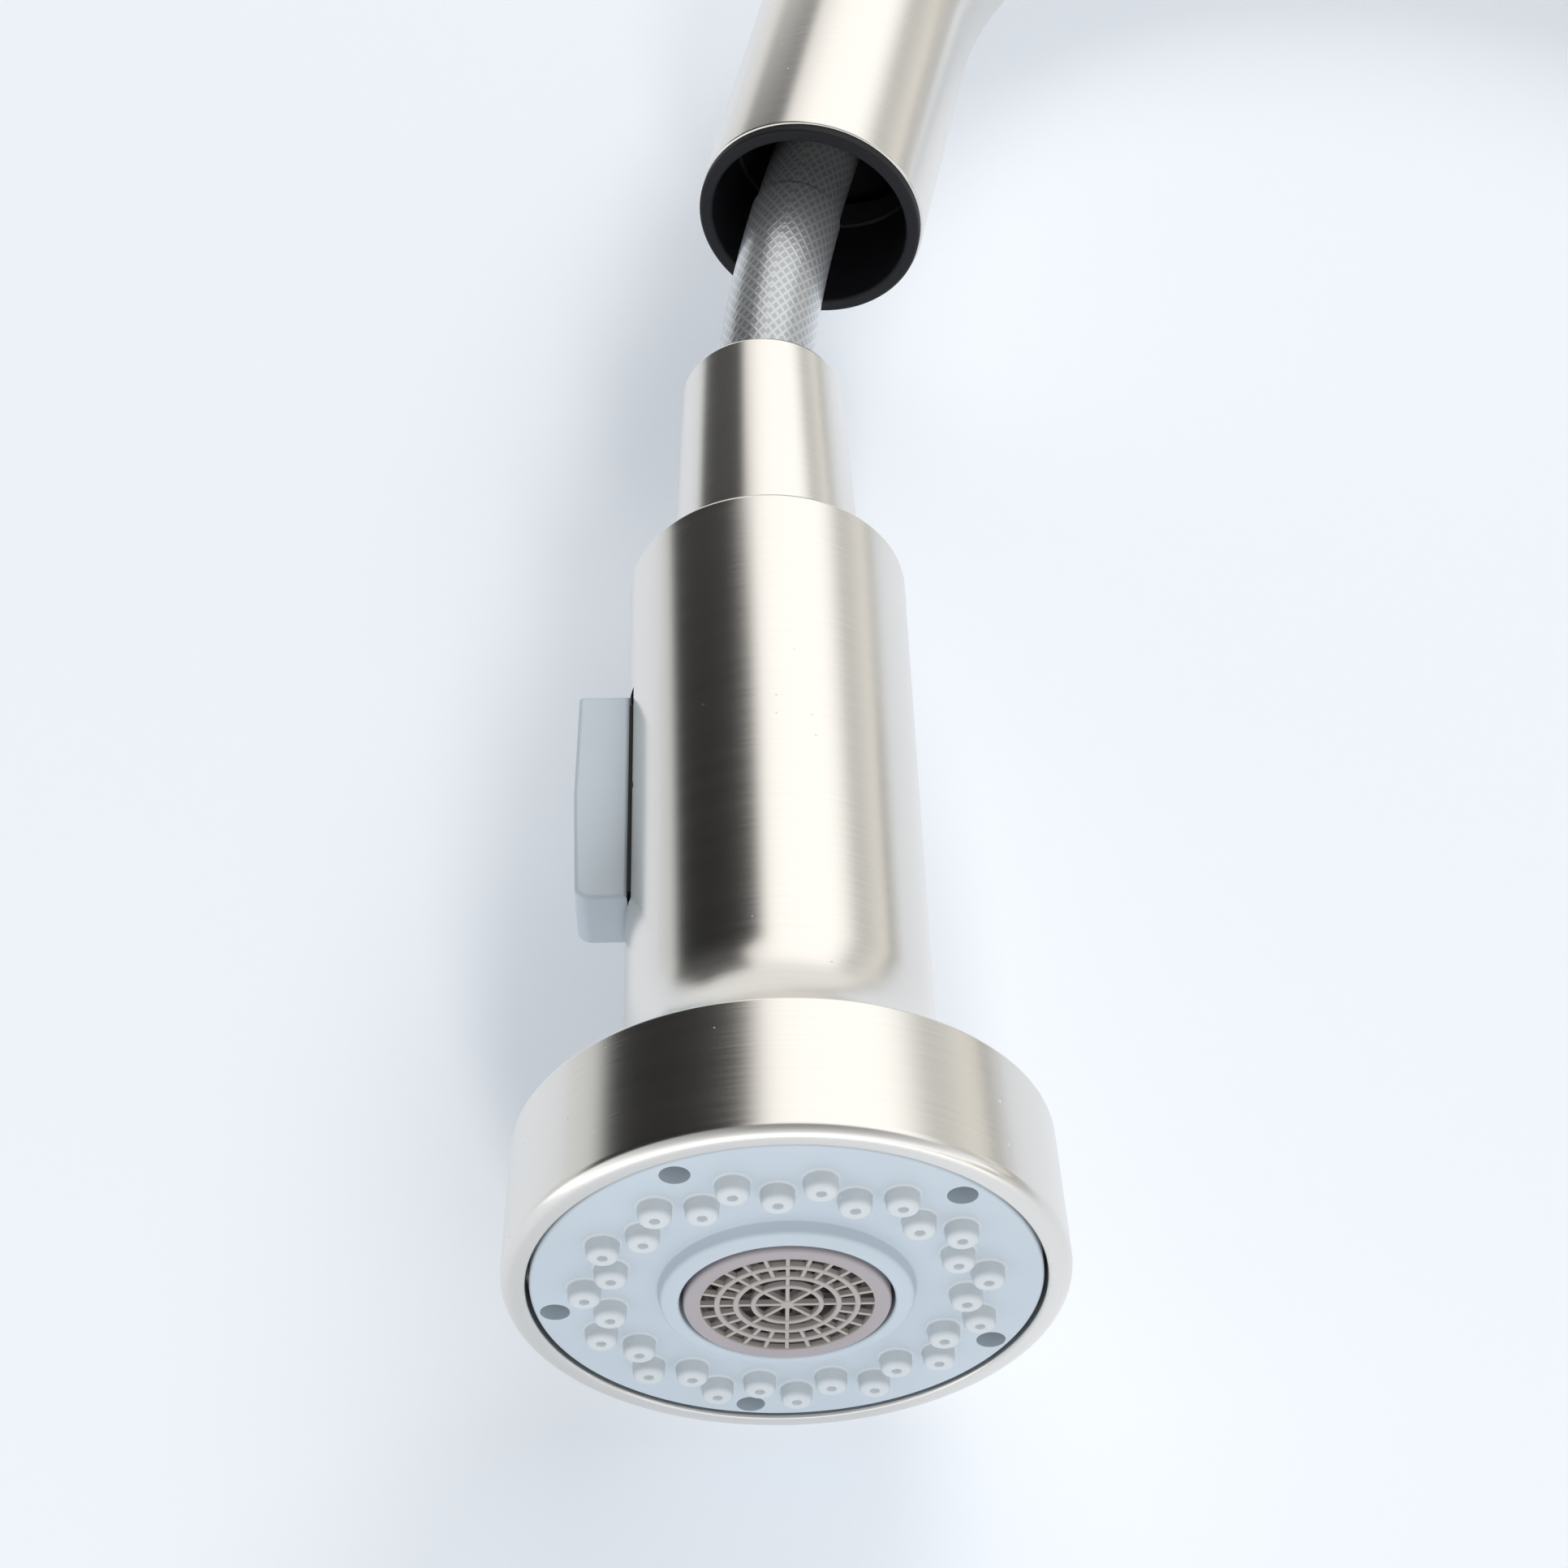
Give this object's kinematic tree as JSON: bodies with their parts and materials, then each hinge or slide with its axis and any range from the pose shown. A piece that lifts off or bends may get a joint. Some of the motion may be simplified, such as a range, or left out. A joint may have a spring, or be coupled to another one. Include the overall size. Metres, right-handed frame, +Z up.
{
  "type": "pull-down kitchen faucet",
  "caption": "Single-hole gooseneck kitchen faucet with a drawn-out spray head on a hose, side lever, swivelling spout and under-deck mounting.",
  "frame": {"origin": "centre of the base at the deck surface", "axes": "+Z up, the spout reaches towards -Y, the lever is on +X"},
  "size_m": [0.0876, 0.2916, 0.7702],
  "materials": {
    "nickel": "satin brushed nickel",
    "spray_grey": "satin moulded",
    "nozzle_rubber": "soft satin",
    "aerator_grey": "satin moulded",
    "button_grey": "satin moulded",
    "black_plastic": "satin moulded",
    "white_plastic": "moulded",
    "hose_braid": "glossy braided sleeve",
    "brass": "turned",
    "copper": "drawn tube",
    "stainless": "plain",
    "black_rubber": "moulded",
    "ceramic": "polished ceramic",
    "weight_grey": "coated"
  },
  "bodies": {
    "base": {"base_gasket": "black_rubber", "base_escutcheon": "nickel", "threaded_shank": "brass", "rubber_washer": "black_rubber", "metal_washer": "stainless", "mounting_nut": "brass", "inlet_tube_hot": "copper", "inlet_fitting_hot": "brass", "inlet_tube_cold": "copper", "inlet_fitting_cold": "brass", "outlet_tube": "copper", "quick_connector": "white_plastic", "faucet_body": "nickel", "body_trim_ring": "nickel", "cartridge_housing": "white_plastic", "fixed_disc": "ceramic", "cartridge_nut": "brass", "cartridge_dome": "nickel", "hose_riser": "hose_braid", "hose_loop": "hose_braid", "hose_weight_left": "weight_grey", "hose_weight_right": "weight_grey", "weight_screws": "stainless"},
    "stem_carrier": {"stem_guide": "black_plastic", "guide_pin": "stainless", "moving_disc": "ceramic"},
    "handle": {"valve_stem": "stainless", "handle_hub": "nickel", "handle_lever": "nickel", "handle_set_screw": "stainless", "index_plug": "black_plastic"},
    "spout": {"spout_tube": "nickel", "hose_in_spout": "hose_braid", "spout_bush": "brass", "spout_o_rings": "black_rubber", "docking_ring": "black_plastic", "docking_magnet": "stainless"},
    "hose": {"hose_exposed": "hose_braid"},
    "hose_end": {"hose_fitting": "brass", "hose_ferrule": "stainless"},
    "ball_socket": {"socket_seat": "white_plastic", "socket_retainer": "white_plastic"},
    "spray_head": {"head_shell": "nickel", "face_plate": "spray_grey", "nozzle_mat": "nozzle_rubber", "spray_back_plate": "white_plastic", "plate_seal": "black_rubber", "aerator_housing": "aerator_grey", "aerator_grid": "aerator_grey", "aerator_screen": "stainless", "waterway": "white_plastic", "check_valve": "black_plastic", "inlet_filter": "stainless", "neck_sleeve": "nickel", "button_pin": "stainless", "diverter_spring": "stainless"},
    "diverter": {"diverter_spool": "white_plastic"},
    "button": {"spray_button": "button_grey"}
  },
  "joints": [
    {"name": "spout_swivel", "type": "hinge", "parent": "base", "child": "spout", "pos_m": [0, 0, 0.115], "axis": [0, 0, 1], "range_deg": [-90, 90]},
    {"name": "handle_turn", "type": "hinge", "parent": "base", "child": "stem_carrier", "pos_m": [0.026, 0, 0.085], "axis": [1, 0, 0], "range_deg": [-45, 45]},
    {"name": "handle_lift", "type": "hinge", "parent": "stem_carrier", "child": "handle", "pos_m": [0.026, 0, 0.085], "axis": [0, 1, 0], "range_deg": [0, 20]},
    {"name": "hose_draw", "type": "slide", "parent": "spout", "child": "hose", "axis": [0, -0.169, -0.9856], "range_m": [-0.06848, 0], "deforming": ["hose_exposed"]},
    {"name": "pull_down", "type": "slide", "parent": "hose", "child": "hose_end", "axis": [0, 0, -1], "range_m": [0, 0.35], "deforming": ["hose_exposed"]},
    {"name": "neck_tilt", "type": "hinge", "parent": "hose_end", "child": "ball_socket", "pos_m": [0, -0.20297, 0.24093], "axis": [1, 0, 0], "range_deg": [-12.5, 0.5]},
    {"name": "head_swivel", "type": "hinge", "parent": "ball_socket", "child": "spray_head", "pos_m": [0, -0.20297, 0.24093], "axis": [0, 0, 1], "continuous": true},
    {"name": "button_rock", "type": "hinge", "parent": "spray_head", "child": "button", "pos_m": [0, -0.21717, 0.18393], "axis": [1, 0, 0], "range_deg": [-4, 4]},
    {"name": "diverter_slide", "type": "slide", "parent": "spray_head", "child": "diverter", "axis": [0, 0, 1], "range_m": [-0.0013, 0.0013], "deforming": ["diverter_spring"]}
  ],
  "couplings": [
    {"joint": "neck_tilt", "follows": "hose_draw", "rad_per_m": 3.0586},
    {"joint": "diverter_slide", "follows": "button_rock", "m_per_rad": -0.0172}
  ]
}
